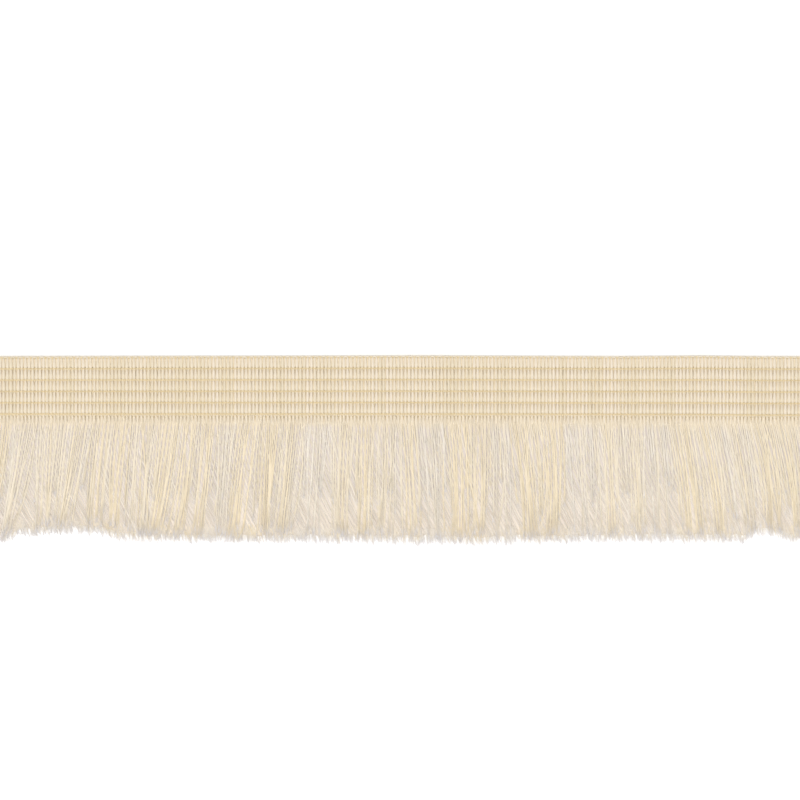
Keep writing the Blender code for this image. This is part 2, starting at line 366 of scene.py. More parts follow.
# The noise and the leg's tint, with painted shade at the turns, run from 0.4, deep, to 1.6, pale
mixed = add(tree, "ShaderNodeMath", uneven, of_leg, operation="ADD")
share = add(tree, "ShaderNodeMapRange", mixed, 0.4, 1.6, 0.0, 1.0)
colour = add(
    tree, "ShaderNodeMix", share, data_type="RGBA", named={6: linear(WEFT_DEEP), 7: linear(WEFT)}
)
tree.links.new(colour.outputs[2], shader.inputs["Base Color"])
fibres = add(tree, "ShaderNodeTexNoise", where, named={"Scale": 1 / (FIBRE_GRAIN * MM)})
bump = add(tree, "ShaderNodeBump", named={"Height": fibres, "Strength": 0.3, "Distance": 0.05 * MM})
tree.links.new(bump.outputs[0], shader.inputs["Normal"])
print("made", weft_yarn.name)


# %% The weft's underside, seen only in the slots between the legs
def patchy_yarn(name, deep, light, patch, **values):
    """A yarn that goes from deep to light over patches of this many millimetres."""
    material, tree, shader = new_material(name, **values)
    where = add(tree, "ShaderNodeTexCoord").outputs["Object"]
    patches = add(tree, "ShaderNodeTexNoise", where, named={"Scale": 1 / (patch * MM)})
    colour = add(
        tree, "ShaderNodeMix", patches, data_type="RGBA", named={6: linear(deep), 7: linear(light)}
    )
    tree.links.new(colour.outputs[2], shader.inputs["Base Color"])
    return material


UNDERSIDE = "#E1D3BA"
UNDERSIDE_DEEP = "#D7C8AA"
underside_yarn = patchy_yarn(
    "viscose_yarn_underside", UNDERSIDE_DEEP, UNDERSIDE, YARN_UNEVENNESS, Roughness=0.95
)
print("made", underside_yarn.name)

# %% Chain thread: fine twisted polyester
THREAD = "#E8D6AE"
THREAD_DEEP = "#D9C59A"
THREAD_TWIST = 0.35            # millimetres from one turn of the thread to the next
chain_thread = patchy_yarn(
    "twisted_polyester_thread", THREAD_DEEP, THREAD, THREAD_TWIST, Roughness=0.55, Sheen_Weight=0.1
)
print("made", chain_thread.name)

# %% Loosened fibres: the same viscose, by how deep and how near its end a fibre is
FIBRE_ROOT = "#E9DBC2"
# Warm and pale are one viscose in painted light: warm where light scatters in deep yarn, pale where
# it passes through thin yarn
FIBRE_WARM = "#ECDDBE"
FIBRE_PALE = "#E6DFD5"
FIBRE_END = "#E2DFE2"          # a bright, cold tip, whose grey is painted shade: the fibres' shadow on the paper seen through the thin ends
COMBED_END = "#EEE5DA"
WHOLE_UNTIL = 0.16             # by this share of its length a fibre has left the yarn


def loose_fibre(name, end, ends_from):
    """Fibres run from pale to warm by their tint, which is mostly painted light. They have the whole
    yarn's colour at the root, and none of it at their cut ends, which begin at this share of their
    length."""
    material, tree, shader = new_material(
        name, Roughness=0.7, Sheen_Weight=0.2, Sheen_Roughness=0.4
    )
    tint = add(tree, "ShaderNodeAttribute", attribute_name="tint").outputs["Fac"]
    body = add(
        tree, "ShaderNodeMix", tint, data_type="RGBA",
        named={6: linear(FIBRE_PALE), 7: linear(FIBRE_WARM)},
    )
    share = add(tree, "ShaderNodeAttribute", attribute_name="share").outputs["Fac"]
    loosened = add(tree, "ShaderNodeMapRange", share, 0.0, WHOLE_UNTIL, 0.0, 1.0)
    body = add(
        tree, "ShaderNodeMix", loosened, data_type="RGBA",
        named={6: linear(FIBRE_ROOT), 7: body.outputs[2]},
    )
    near_end = add(tree, "ShaderNodeMapRange", share, ends_from, 1.0, 0.0, 1.0)
    colour = add(
        tree, "ShaderNodeMix", near_end, data_type="RGBA",
        named={6: body.outputs[2], 7: linear(end)},
    )
    tree.links.new(colour.outputs[2], shader.inputs["Base Color"])
    return material


strand_fibre = loose_fibre("loose_viscose_fibre", FIBRE_END, ends_from=0.93)
combed_fibre = loose_fibre("combed_viscose_fibre", COMBED_END, ends_from=0.55)
print("made", strand_fibre.name, "and", combed_fibre.name)

# %% Matted fibres: a fine hatching, one groove to each leg, with painted shade in the grooves
MAT_RIDGE = "#D9CDB8"
MAT_ROOT = "#DCCBA8"
# Painted shade: the grooves take a darker, greyer colour for the shade that falls in them
MAT_GROOVE_SHADE = "#C3B9B6"
MAT_THIN = "#E2D6C6"           # near the hem, where the white paper shows through it
STREAKS = (2.6, 0.30, 1.0)     # to a leg's width across, and to a millimetre down
LOOSENED = (18.0, 21.5)        # depths between which the yarn opens into the mat
THINNING = (42.0, 54.0)        # depths between which the mat thins out
mat_fibre, tree, shader = new_material(
    "matted_viscose_fibre", Roughness=0.8, Sheen_Weight=0.2, Sheen_Roughness=0.4
)
lay = add(tree, "ShaderNodeUVMap", uv_map="lay")
streaks = add(tree, "ShaderNodeVectorMath", lay, STREAKS, operation="MULTIPLY")
streaks = add(tree, "ShaderNodeTexNoise", streaks, named={"Scale": 1.0, "Detail": 3.0})
lay_parts = add(tree, "ShaderNodeSeparateXYZ", lay).outputs
waver = add(tree, "ShaderNodeMapRange", streaks, 0.0, 1.0, -0.2, 0.2)
place = add(tree, "ShaderNodeMath", lay_parts["X"], waver, operation="ADD")
turn = add(tree, "ShaderNodeMath", place, 2 * math.pi, operation="MULTIPLY")
groove = add(tree, "ShaderNodeMath", turn, operation="COSINE")
ridge = add(tree, "ShaderNodeMapRange", groove, 1.0, -1.0, 0.0, 0.7)
ridge = add(tree, "ShaderNodeMath", streaks, 0.3, ridge, operation="MULTIPLY_ADD")
# The ridges keep the fibres' colour and the grooves get the painted shade; the same ridges make the
# bump below
colour = add(
    tree, "ShaderNodeMix", ridge, data_type="RGBA",
    named={6: linear(MAT_GROOVE_SHADE), 7: linear(MAT_RIDGE)},
)
loosened = add(tree, "ShaderNodeMapRange", lay_parts["Y"], *LOOSENED, 0.0, 1.0)
colour = add(
    tree, "ShaderNodeMix", loosened, data_type="RGBA",
    named={6: linear(MAT_ROOT), 7: colour.outputs[2]},
)
thin = add(tree, "ShaderNodeMapRange", lay_parts["Y"], *THINNING, 0.0, 0.8)
colour = add(
    tree, "ShaderNodeMix", thin, data_type="RGBA", named={6: colour.outputs[2], 7: linear(MAT_THIN)}
)
tree.links.new(colour.outputs[2], shader.inputs["Base Color"])
bump = add(tree, "ShaderNodeBump", named={"Height": ridge, "Strength": 0.6, "Distance": 0.15 * MM})
tree.links.new(bump.outputs[0], shader.inputs["Normal"])
print("made", mat_fibre.name)

# %% [markdown]
# ## The heading's ground
#
# Under the ribs the legs of the weft press together and close the trim, so that nothing shows
# through it. That layer is one thin sheet of cloth, cut to the heading's size. It is a grid that
# dips under each chain row, with a second grid under it and a narrow wall round the edge, so that
# it is a closed skin with a thickness of its own. The top chain is sunk among the turns of the
# weft, so the ground stays half high there.

# %% One helper for a thin layer with a top, an underside and an edge
def layer(name, x, depth, top, bottom, material):
    """A closed skin over arrays of rows from top to hem, each with its points from left to right."""
    rows, columns = x.shape
    y = at_depth(x, depth)
    upper = np.stack([x, y, top], axis=-1).reshape(-1, 3)
    lower = np.stack([x, y, bottom], axis=-1).reshape(-1, 3)
    number = np.arange(rows * columns).reshape(rows, columns)
    corners = (number[1:, :-1], number[1:, 1:], number[:-1, 1:], number[:-1, :-1])
    over = np.stack(corners, axis=-1).reshape(-1, 4)
    under = over[:, ::-1] + rows * columns
    rim = np.concatenate([number[0, :-1], number[:-1, -1], number[-1, :0:-1], number[:0:-1, 0]])
    after = np.roll(rim, -1)
    wall = np.stack([rim, after, after + rows * columns, rim + rows * columns], axis=-1)
    mesh = bpy.data.meshes.new(name)
    mesh.from_pydata(
        (np.concatenate([upper, lower]) * MM).tolist(), [],
        np.concatenate([over, under, wall]).tolist(),
    )
    mesh.shade_smooth()
    mesh.materials.append(material)
    piece = bpy.data.objects.new(name, mesh)
    bpy.context.scene.collection.objects.link(piece)
    print(f"{name}: {2 * len(mesh.polygons)} triangles")
    return piece


# %% The ground
GROUND_HIGH = 1.12             # just above a chain row
GROUND_LOW = 0.80              # just under one
GROUND_THICKNESS = 0.4
GROUND_TOP = 0.15              # it starts this far inside the turns' edge
GROUND_ROWS = 52
# How far down a band, and how far up from low to high the ground is there
GROUND_DIP = ((0.1, 0.25, 0.6, 0.92, 1.0), (0.0, 0.1, 1.0, 0.9, 0.0))
TOP_BAND_DIP = ((0.0, 0.2, 0.8, 1.0), (0.5, 1.0, 1.0, 0.0))

ground_x, ground_depth = np.meshgrid(
    np.linspace(-LENGTH / 2, LENGTH / 2, LOOPS + 1),
    np.linspace(GROUND_TOP, HEADING, GROUND_ROWS + 1),
)
band = np.clip(np.searchsorted(CHAIN_DEPTHS, ground_depth) - 1, 0, len(CHAIN_DEPTHS) - 2)
above, below = np.array(CHAIN_DEPTHS)[band], np.array(CHAIN_DEPTHS)[band + 1]
down = (ground_depth - above) / (below - above)
risen = np.where(band == 0, np.interp(down, *TOP_BAND_DIP), np.interp(down, *GROUND_DIP))
ground_z = GROUND_LOW + (GROUND_HIGH - GROUND_LOW) * risen
heading_ground = layer(
    "heading_ground", ground_x, ground_depth, ground_z, ground_z - GROUND_THICKNESS, underside_yarn
)

# %% [markdown]
# ## The weft's legs
#
# Each loop of the weft runs up from the fringe, turns round the top chain and runs down again. A
# chain row pulls it down and thin, and it swells again before the next row. That gives the slots
# their shape: wide just under a row, and closing above the next one. The yarn has three plies,
# so the tree lays three round strands about the guide and turns them gently as they go.

# %% A tree that plies a yarn round its guide
def plied_yarn_tree():
    tree, given = new_tree(
        "plied_yarn",
        {"Plies": 3, "Sides": 5, "Ply Share": 0.78, "Lay Share": 0.24, "Turns per Metre": 60.0,
         "Yarn": ""},
    )
    line = add(tree, "GeometryNodeMeshToCurve", given["Guide"])
    line = add(tree, "GeometryNodeSetCurveNormal", line, mode="Z_UP")
    plies = add(tree, "GeometryNodeDuplicateElements", line, None, given["Plies"], domain="SPLINE")
    thick = add(tree, "GeometryNodeInputNamedAttribute", "thick")
    length = add(tree, "GeometryNodeSplineParameter").outputs["Length"]
    share = add(
        tree, "ShaderNodeMath", plies.outputs["Duplicate Index"], given["Plies"], operation="DIVIDE"
    )
    turns = add(
        tree, "ShaderNodeMath", length, given["Turns per Metre"], share, operation="MULTIPLY_ADD"
    )
    angle = add(tree, "ShaderNodeMath", turns, 2 * math.pi, operation="MULTIPLY")
    across = add(tree, "ShaderNodeMath", angle, operation="COSINE")
    over = add(tree, "ShaderNodeMath", angle, operation="SINE")
    normal = add(tree, "GeometryNodeInputNormal")
    tangent = add(tree, "GeometryNodeInputTangent")
    upright = add(tree, "ShaderNodeVectorMath", tangent, normal, operation="CROSS_PRODUCT")
    parts = [
        add(tree, "ShaderNodeVectorMath", way, operation="SCALE", named={"Scale": size})
        for way, size in ((normal, across), (upright, over))
    ]
    way_out = add(tree, "ShaderNodeVectorMath", *parts, operation="ADD")
    lay = add(tree, "ShaderNodeMath", thick, given["Lay Share"], operation="MULTIPLY")
    offset = add(tree, "ShaderNodeVectorMath", way_out, operation="SCALE", named={"Scale": lay})
    laid = add(tree, "GeometryNodeSetPosition", plies, None, None, offset)
    radius = add(tree, "ShaderNodeMath", thick, given["Ply Share"], operation="MULTIPLY")
    ring = add(tree, "GeometryNodeCurvePrimitiveCircle", given["Sides"], named={"Radius": 1.0})
    tubes = add(tree, "GeometryNodeCurveToMesh", laid, ring, radius, True)
    end_tree(tree, tubes, given["Yarn"])
    return tree


plied_yarn = plied_yarn_tree()
print("nodes in the yarn tree:", len(plied_yarn.nodes))

# %% How a leg rises and swells between two chain rows: (share of the band, height, half width)
BAND = (
    (0.00, 0.99, 0.320),
    (0.14, 1.05, 0.335),
    (0.32, 1.07, 0.430),
    (0.56, 1.06, 0.495),
    (0.85, 1.02, 0.505),
)
TOP_BAND_SWELL = 1.12          # the band under the top edge is tied less tightly
# Under the last row the leg's end dips into the mat: (depth, height, half width)
BELOW_LAST_ROW = ((17.4, 0.86, 0.31), (18.0, 0.94, 0.30), (18.9, 0.92, 0.26), (20.2, 0.75, 0.20))
# Round the top chain: (degrees, height)
TURN = ((15, 0.92), (45, 1.02), (70, 1.06), (110, 1.06), (135, 1.02), (165, 0.92))
TURN_ROOM = 0.32               # how far the turn's middle line passes the top chain
TURN_HALF_WIDTH = 0.29


def leg_stations():
    """(depth, height, half width) down one leg, from just under the top chain."""
    stations = []
    for number, (above, below) in enumerate(zip(CHAIN_DEPTHS, CHAIN_DEPTHS[1:])):
        swell = TOP_BAND_SWELL if number == 0 else 1.0
        for share, height, half in BAND:
            stations.append((above + share * (below - above), height, half * swell))
    return np.array(stations + list(BELOW_LAST_ROW))


print(len(leg_stations()), "stations down a leg")

# %% The legs' guides, a loop at a time
STEP_ASIDE = 0.009             # how far a leg strays from one station to the next
UNEVEN_WIDTH = 0.025
TURN_DEEPER = 0.3              # the turns are tinted deeper, as the top chain shades them


def loop_line(loop, draw):
    """One loop of the weft, up its left leg, round the top chain and down its right leg."""
    stations = leg_stations()
    # The loops grow fuller and thinner by turns, in two slow waves
    fullness = 1 + 0.02 * math.sin(loop / 3.1) + 0.015 * math.sin(loop / 1.3 + 2.0)
    sides = []
    for leg in (2 * loop, 2 * loop + 1):
        wander = np.cumsum(draw.normal(0.0, STEP_ASIDE, len(stations)))
        x = leg_x(leg) + wander - wander[-1] * np.linspace(0, 1, len(stations))
        uneven = fullness + draw.normal(0.0, UNEVEN_WIDTH, len(stations))
        line = np.column_stack([x, at_depth(x, stations[:, 0]), stations[:, 1]])
        sides.append((line, stations[:, 2] * uneven))
    (left, left_half), (right, right_half) = sides
    middle = (leg_x(2 * loop) + leg_x(2 * loop + 1)) / 2
    turn = []
    for degrees, height in TURN:
        angle = math.radians(degrees)
        x = middle - LEG_PITCH / 2 * math.cos(angle)
        turn.append((x, at_depth(x, CHAIN_DEPTHS[0] - TURN_ROOM * math.sin(angle)), height))
    line = np.concatenate([left[::-1], turn, right])
    half = np.concatenate([left_half[::-1], np.full(len(TURN), TURN_HALF_WIDTH), right_half])
    tint = np.full(len(line), draw.random())
    tint[len(left):len(left) + len(TURN)] -= TURN_DEEPER
    return line, half * MM, tint


def weft_piece(name, loops, seed):
    draw = np.random.default_rng(seed)
    lines, halves, tints = zip(*[loop_line(loop, draw) for loop in loops])
    guide = guide_lines(name, lines, {"thick": halves, "tint": tints})
    return grown(name, guide, plied_yarn, Yarn=weft_yarn)


weft_left = weft_piece("weft_legs_left", range(LOOPS // 2), seed=3)
weft_right = weft_piece("weft_legs_right", range(LOOPS // 2, LOOPS), seed=4)

# %% [markdown]
# ## The rows of chain stitch
#
# A chain is one thread in which each loop is pulled through the loop before it. From above that
# reads as a row of overlapping drops, one over each leg of the weft. The tree makes one drop out
# of a circle, narrow and low at its root and wide at its head, and puts one on every leg, so that
# each drop's root comes up through the head of the one before.

# %% A tree that knits a chain along its guide
def chain_stitch_tree():
    tree, given = new_tree(
        "chain_stitch",
        {"Stitches": 240, "Drop Length": 0.0013, "Drop Width": 0.00042, "Drop Rise": 0.0002,
         "Root Depth": 0.0002, "Thread Radius": 0.00009, "Unevenness": 0.08, "Seed": 1,
         "Thread": ""},
    )
    ring = add(tree, "GeometryNodeCurvePrimitiveCircle", 10, named={"Radius": 1.0})
    place = add(tree, "ShaderNodeSeparateXYZ", add(tree, "GeometryNodeInputPosition")).outputs
    along = add(tree, "ShaderNodeMapRange", place["X"], -1.0, 1.0, 0.0, 1.0)
    x = add(tree, "ShaderNodeMath", along, given["Drop Length"], operation="MULTIPLY")
    # A drop's root is about a third as wide as its head
    opening = add(tree, "ShaderNodeMapRange", along, 0.0, 1.0, 0.35, 1.0)
    half = add(tree, "ShaderNodeMath", opening, given["Drop Width"], operation="MULTIPLY")
    y = add(tree, "ShaderNodeMath", place["Y"], half, operation="MULTIPLY")
    y = add(tree, "ShaderNodeMath", y, 0.5, operation="MULTIPLY")
    half_turn = add(tree, "ShaderNodeMath", along, math.pi, operation="MULTIPLY")
    arch = add(tree, "ShaderNodeMath", half_turn, operation="SINE")
    arch = add(tree, "ShaderNodeMath", arch, given["Drop Rise"], operation="MULTIPLY")
    to_root = add(tree, "ShaderNodeMath", 1.0, along, operation="SUBTRACT")
    sunk = add(tree, "ShaderNodeMath", to_root, given["Root Depth"], operation="MULTIPLY")
    z = add(tree, "ShaderNodeMath", arch, sunk, operation="SUBTRACT")
    drop_line = add(
        tree, "GeometryNodeSetPosition", ring, None, add(tree, "ShaderNodeCombineXYZ", x, y, z)
    )
    section = add(
        tree, "GeometryNodeCurvePrimitiveCircle", 4, named={"Radius": given["Thread Radius"]}
    )
    drop = add(tree, "GeometryNodeCurveToMesh", drop_line, section)
    # The material goes on before the copies are made, so that the joined mesh has one slot
    drop = add(tree, "GeometryNodeSetMaterial", drop, None, given["Thread"])
    row = add(tree, "GeometryNodeMeshToCurve", given["Guide"])
    roots = add(tree, "GeometryNodeCurveToPoints", row, given["Stitches"], mode="COUNT")
    turned = add(
        tree, "FunctionNodeAlignRotationToVector", axis="X",
        named={"Vector": roots.outputs["Tangent"]},
    )
    least = add(tree, "ShaderNodeMath", 1.0, given["Unevenness"], operation="SUBTRACT")
    most = add(tree, "ShaderNodeMath", 1.0, given["Unevenness"], operation="ADD")
    sizes = add(
        tree, "FunctionNodeRandomValue", least, most, data_type="FLOAT_VECTOR",
        named={"Seed": given["Seed"]},
    )
    drops = add(
        tree, "GeometryNodeInstanceOnPoints", roots, None, drop,
        named={"Rotation": turned, "Scale": sizes},
    )
    end_tree(tree, drops, given["Thread"])
    return tree


chain_stitch = chain_stitch_tree()
print("nodes in the chain tree:", len(chain_stitch.nodes))

# %% The six rows
ROW_HEIGHT = 1.29              # the chain's middle, over the legs that it ties down
TOP_ROW_HEIGHT = 1.08          # the turns of the weft half cover the top chain
ROW_STEPS = 40


def chain_row(number, depth):
    """One row, whose last drop is rooted a leg before the end and reaches on to it."""
    x = np.linspace(-LENGTH / 2, LENGTH / 2 - LEG_PITCH, ROW_STEPS)
    height = TOP_ROW_HEIGHT if number == 1 else ROW_HEIGHT
    line = np.column_stack([x, at_depth(x, depth), np.full(ROW_STEPS, height)])
    guide = guide_lines(f"chain_{number}", [line], {})
    return grown(f"chain_stitch_{number}", guide, chain_stitch, Stitches=LEGS, Seed=number,
                 Thread=chain_thread)


chain_rows = [chain_row(number, depth) for number, depth in enumerate(CHAIN_DEPTHS, start=1)]

# %% [markdown]
# ## The cut ends
#
# Below the last chain nothing holds the weft, and its fibres come apart. Most of them mat together
# into one soft layer, which was combed aslant when the ends were cut, and lines of loose fibres lie
# on it the way it was combed. Over them lie the strands that still cling together, two to each leg.
# They drift into locks, warm where they stand tall and pale between, which is painted light. Just
# above the hem the mat ends raggedly, and fibres come out of it one by one, as a fine brush.
#
# The matted layer is one closed skin. The rest are thousands of fibres, so each one is only a
# three-sided tube of a few steps. One guide runs down the middle of each bundle, and the tree gives
# it some fibres: each has its own place across the bundle, its own height, and its own length and
# wobble.

# %% A tree that turns each guide into a bundle of fibres
def cut_ends_tree():
    tree, given = new_tree(
        "cut_ends",
        {"Fibres": 8, "Radius": 0.00009, "Thinnest": 0.6, "Taper": 0.5, "Shortest": 0.94,
         "Wobble": 0.0002, "Wobble Length": 0.012, "Seed": 1, "Fibre": ""},
    )
    numbers = {
        name: add(tree, "GeometryNodeInputNamedAttribute", name)
        for name in ("share", "spread", "pile", "warm")
    }
    line = add(tree, "GeometryNodeMeshToCurve", given["Guide"])
    fibres = add(tree, "GeometryNodeDuplicateElements", line, None, given["Fibres"], domain="SPLINE")
    # Six numbers drawn for each fibre, which all of its points share
    of_fibre = []
    for step in range(2):
        seed = add(tree, "ShaderNodeMath", given["Seed"], float(100 * step), operation="ADD")
        drawn = add(
            tree, "FunctionNodeRandomValue", (0.0, 0.0, 0.0), (1.0, 1.0, 1.0),
            data_type="FLOAT_VECTOR", named={"Seed": seed},
        )
        same = add(
            tree, "GeometryNodeFieldOnDomain", drawn, data_type="FLOAT_VECTOR", domain="CURVE"
        )
        of_fibre.append(same)
    first = add(tree, "ShaderNodeSeparateXYZ", of_fibre[0]).outputs
    second = add(tree, "ShaderNodeSeparateXYZ", of_fibre[1]).outputs

    # Length: every point slides towards the fibre's root by the same share, most of them little
    root = add(tree, "GeometryNodeInputNamedAttribute", "root", data_type="FLOAT_VECTOR")
    place = add(tree, "GeometryNodeInputPosition")
    short_by = add(tree, "ShaderNodeMath", first["Z"], 1.5, operation="POWER")
    reach = add(tree, "ShaderNodeMapRange", short_by, 0.0, 1.0, 1.0, given["Shortest"])
    hang = add(tree, "ShaderNodeVectorMath", place, root, operation="SUBTRACT")
    hang = add(tree, "ShaderNodeVectorMath", hang, operation="SCALE", named={"Scale": reach})
    cut = add(tree, "ShaderNodeVectorMath", root, hang, operation="ADD")

    # Place across the bundle, and wobble that grows towards the end
    side = add(tree, "ShaderNodeMapRange", first["X"], 0.0, 1.0, -1.0, 1.0)
    across = add(tree, "ShaderNodeMath", side, numbers["spread"], operation="MULTIPLY")
    own_noise = add(
        tree, "ShaderNodeVectorMath", of_fibre[1], operation="SCALE", named={"Scale": 3.0}
    )
    noise_place = add(tree, "ShaderNodeVectorMath", cut, own_noise, operation="ADD")
    fineness = add(tree, "ShaderNodeMath", 1.0, given["Wobble Length"], operation="DIVIDE")
    noise = add(
        tree, "ShaderNodeTexNoise", noise_place, named={"Scale": fineness, "Detail": 0.0}
    )
    lean = add(tree, "ShaderNodeMapRange", noise, 0.25, 0.75, -1.0, 1.0)
    lean = add(tree, "ShaderNodeMath", lean, given["Wobble"], operation="MULTIPLY")
    lean = add(tree, "ShaderNodeMath", lean, numbers["share"], operation="MULTIPLY")
    sideways = add(tree, "ShaderNodeMath", across, lean, operation="ADD")

    # Thickness: fibres differ, and each one tapers late, towards its cut end
    radius = add(tree, "ShaderNodeMapRange", second["X"], 0.0, 1.0, given["Thinnest"], 1.0)
    radius = add(tree, "ShaderNodeMath", radius, given["Radius"], operation="MULTIPLY")
    late = add(tree, "ShaderNodeMath", numbers["share"], 6.0, operation="POWER")
    lost = add(tree, "ShaderNodeMath", late, given["Taper"], operation="MULTIPLY")
    kept = add(tree, "ShaderNodeMath", 1.0, lost, operation="SUBTRACT")
    radius = add(tree, "ShaderNodeMath", radius, kept, operation="MULTIPLY")

    # Height in the pile: a bundle is round, so its outer fibres lie lower, and none under the floor
    square = add(tree, "ShaderNodeMath", side, side, operation="MULTIPLY")
    round_top = add(tree, "ShaderNodeMapRange", square, 0.0, 1.0, 1.0, 0.55)
    height = add(tree, "ShaderNodeMath", first["Y"], round_top, operation="MULTIPLY")
    height = add(tree, "ShaderNodeMath", height, numbers["pile"], operation="MULTIPLY")
    moved = add(tree, "ShaderNodeCombineXYZ", sideways, 0.0, height)
    settled = add(tree, "ShaderNodeVectorMath", cut, moved, operation="ADD")
    settled = add(tree, "ShaderNodeSeparateXYZ", settled).outputs
    lowest = add(tree, "ShaderNodeMath", settled["Z"], radius, operation="MAXIMUM")
    settled = add(tree, "ShaderNodeCombineXYZ", settled["X"], settled["Y"], lowest)
    laid = add(tree, "GeometryNodeSetPosition", fibres, None, settled)

    # Tint: mostly the bundle's warmth, which is painted light, and partly the fibre's own
    warm = add(tree, "ShaderNodeMath", numbers["warm"], 0.7, operation="MULTIPLY")
    tint = add(tree, "ShaderNodeMath", second["Y"], 0.3, warm, operation="MULTIPLY_ADD")
    tinted = add(tree, "GeometryNodeStoreNamedAttribute", laid, None, "tint", tint, domain="POINT")
    ring = add(tree, "GeometryNodeCurvePrimitiveCircle", 3, named={"Radius": 1.0})
    tubes = add(tree, "GeometryNodeCurveToMesh", tinted, ring, radius, True)
    end_tree(tree, tubes, given["Fibre"])
    return tree


cut_ends = cut_ends_tree()
print("nodes in the fibre tree:", len(cut_ends.nodes))


# %% How the locks run
def along(s, at_root, at_middle, at_tip):
    """The quadratic through three values, at s = 0, 0.5 and 1."""
    root_part = (1 - s) * (1 - 2 * s)
    tip_part = s * (2 * s - 1)
    return root_part * at_root + 4 * s * (1 - s) * at_middle + tip_part * at_tip


def lock_middles(s):
    levels = (column(LOCKS, LOCK_COLUMNS, name) for name in ("root", "middle", "tip"))
    return along(s, *levels)


def lock_edges(s):
    """Where each lock ends and the next begins, at this share of the strands' length."""
    middles = lock_middles(s)
    inner = (middles[1:] + middles[:-1]) / 2
    return np.concatenate(([-LENGTH / 2], inner, [LENGTH / 2]))


def in_lock(x, s):
    """(lock number, place across it from -1 to 1) of each x at this share of the length."""
    edges = lock_edges(s)
    middles = lock_middles(s)
    lock = np.clip(np.searchsorted(edges, x) - 1, 0, len(LOCKS) - 1)
    side = np.where(x < middles[lock], middles[lock] - edges[lock], edges[lock + 1] - middles[lock])
    return lock, np.clip((x - middles[lock]) / side, -1, 1)


roots = leg_x(np.arange(LEGS))
root_lock, root_place = in_lock(roots, 0.0)
print("legs to a lock:", np.bincount(root_lock).min(), "to", np.bincount(root_lock).max())

# %% The matted layer
MAT_TOP = 17.7
MAT_SHORT = 1.3                # the mat ends this far above the hem, and single fibres go on
MAT_RAGGED = 0.4               # and each leg's part ends up to this much off that line
MAT_ROWS = 26
MAT_MARGIN = 0.1               # left free at the trim's two ends
MAT_FLOOR = 0.02
MAT_LENGTH = HEIGHT - MAT_TOP
# By share of its length, the mat's height at a low lock, and what each millimetre more adds
MAT_LEVEL = ((0.0, 0.08, 0.35, 0.7, 1.0), (0.62, 0.72, 0.72, 0.60, 0.12))
MAT_RISE = ((0.0, 0.15, 0.45, 0.75, 1.0), (0.0, 0.15, 0.40, 0.35, 0.05))
LOW_LOCK = 0.9                 # the lowest lock of the table
BETWEEN_LOCKS = 0.7            # how full the mat is between two locks, next to the lower
SLANT = 0.45
SLANT_GROWTH = (0.45, 0.40)    # the comb runs further aside towards the hem


def mat_height(x, s):
    """A low mound under each lock, which thins out towards the hem."""
    tall = column(LOCKS, LOCK_COLUMNS, "height")
    lower = np.minimum(np.append(tall, tall[-1]), np.insert(tall, 0, tall[0]))
    knots = np.concatenate([lock_middles(s), lock_edges(s)])
    order = np.argsort(knots)
    full = np.interp(x, knots[order], np.concatenate([tall, BETWEEN_LOCKS * lower])[order])
    return np.interp(s, *MAT_LEVEL) + np.interp(s, *MAT_RISE) * (full - LOW_LOCK)


def combed(s):
    """How far the fibres of the mat have run to the right, at this share of its depth."""
    start, growth = SLANT_GROWTH
    return SLANT * s * MAT_LENGTH * (start + growth * s)


across = np.linspace(-LENGTH / 2 + MAT_MARGIN, LENGTH / 2 - MAT_MARGIN, LEGS + 1)
mat_x, mat_s = np.meshgrid(across, np.linspace(0.0, 1.0, MAT_ROWS + 1))
ragged = np.random.default_rng(6).uniform(-MAT_RAGGED, MAT_RAGGED, LEGS + 1)
mat_depth = MAT_TOP + mat_s * (hem_at(mat_x) - MAT_SHORT + ragged - MAT_TOP)
mat_z = np.array([mat_height(across, row[0]) for row in mat_s])
mat_floor = np.full_like(mat_x, MAT_FLOOR)
fringe_mat = layer("fringe_mat", mat_x, mat_depth, mat_z, mat_floor, mat_fibre)

# %% The mat's UV map: legs across, following the comb, and millimetres down
u, v = ((mat_x - combed(mat_s)) / LEG_PITCH).ravel(), mat_depth.ravel()
corners = np.empty(len(fringe_mat.data.loops), dtype=int)
fringe_mat.data.loops.foreach_get("vertex_index", corners)
corners %= len(u)              # the underside's points are counted like the top's
uv_map = fringe_mat.data.uv_layers.new(name="lay")
uv_map.data.foreach_set("uv", np.column_stack([u[corners], v[corners]]).astype(np.float32).ravel())
print("mapped corners:", len(corners))

# %% How the locks carry the legs
GATHERED_AT = 0.8              # by this share of its length a lock has drawn its legs in
WIDEST = 1.25                  # a lock gets no wider than this beside its root


def of_lock(leg, name):
    return column(LOCKS, LOCK_COLUMNS, name)[root_lock[leg]]


def lock_x(leg, s):
    """A leg's x at this share of its free length, as its lock carries it."""
    lock, place = root_lock[leg], root_place[leg]
    sides = []
    for share in (0.0, s):
        edges, middles = lock_edges(share), lock_middles(share)
        outer = edges[lock] if place < 0 else edges[lock + 1]
        sides.append(abs(outer - middles[lock]))
    drawn = 1 - of_lock(leg, "gather") * math.sin(math.pi / 2 * min(s / GATHERED_AT, 1.0)) ** 2
    return middles[lock] + place * min(sides[1], WIDEST * sides[0]) * drawn


print("the first leg's tip is at x", round(float(lock_x(0, 1.0)), 1))

# %% What every bundle has
# Painted light: a bundle is warmer the taller its lock, for light scattered among many fibres, and
# cooler towards the lock's edge, where light passes between them; the drawn spread is the fibres'
# own tone
LOW_WARMTH = 0.18              # in the middle of the lowest lock
WARMER_BY = 1.1                # for each millimetre that a lock stands higher
COOLER_BY = 0.4                # from a lock's middle to its edge
WARMTH_SPREAD = 0.15


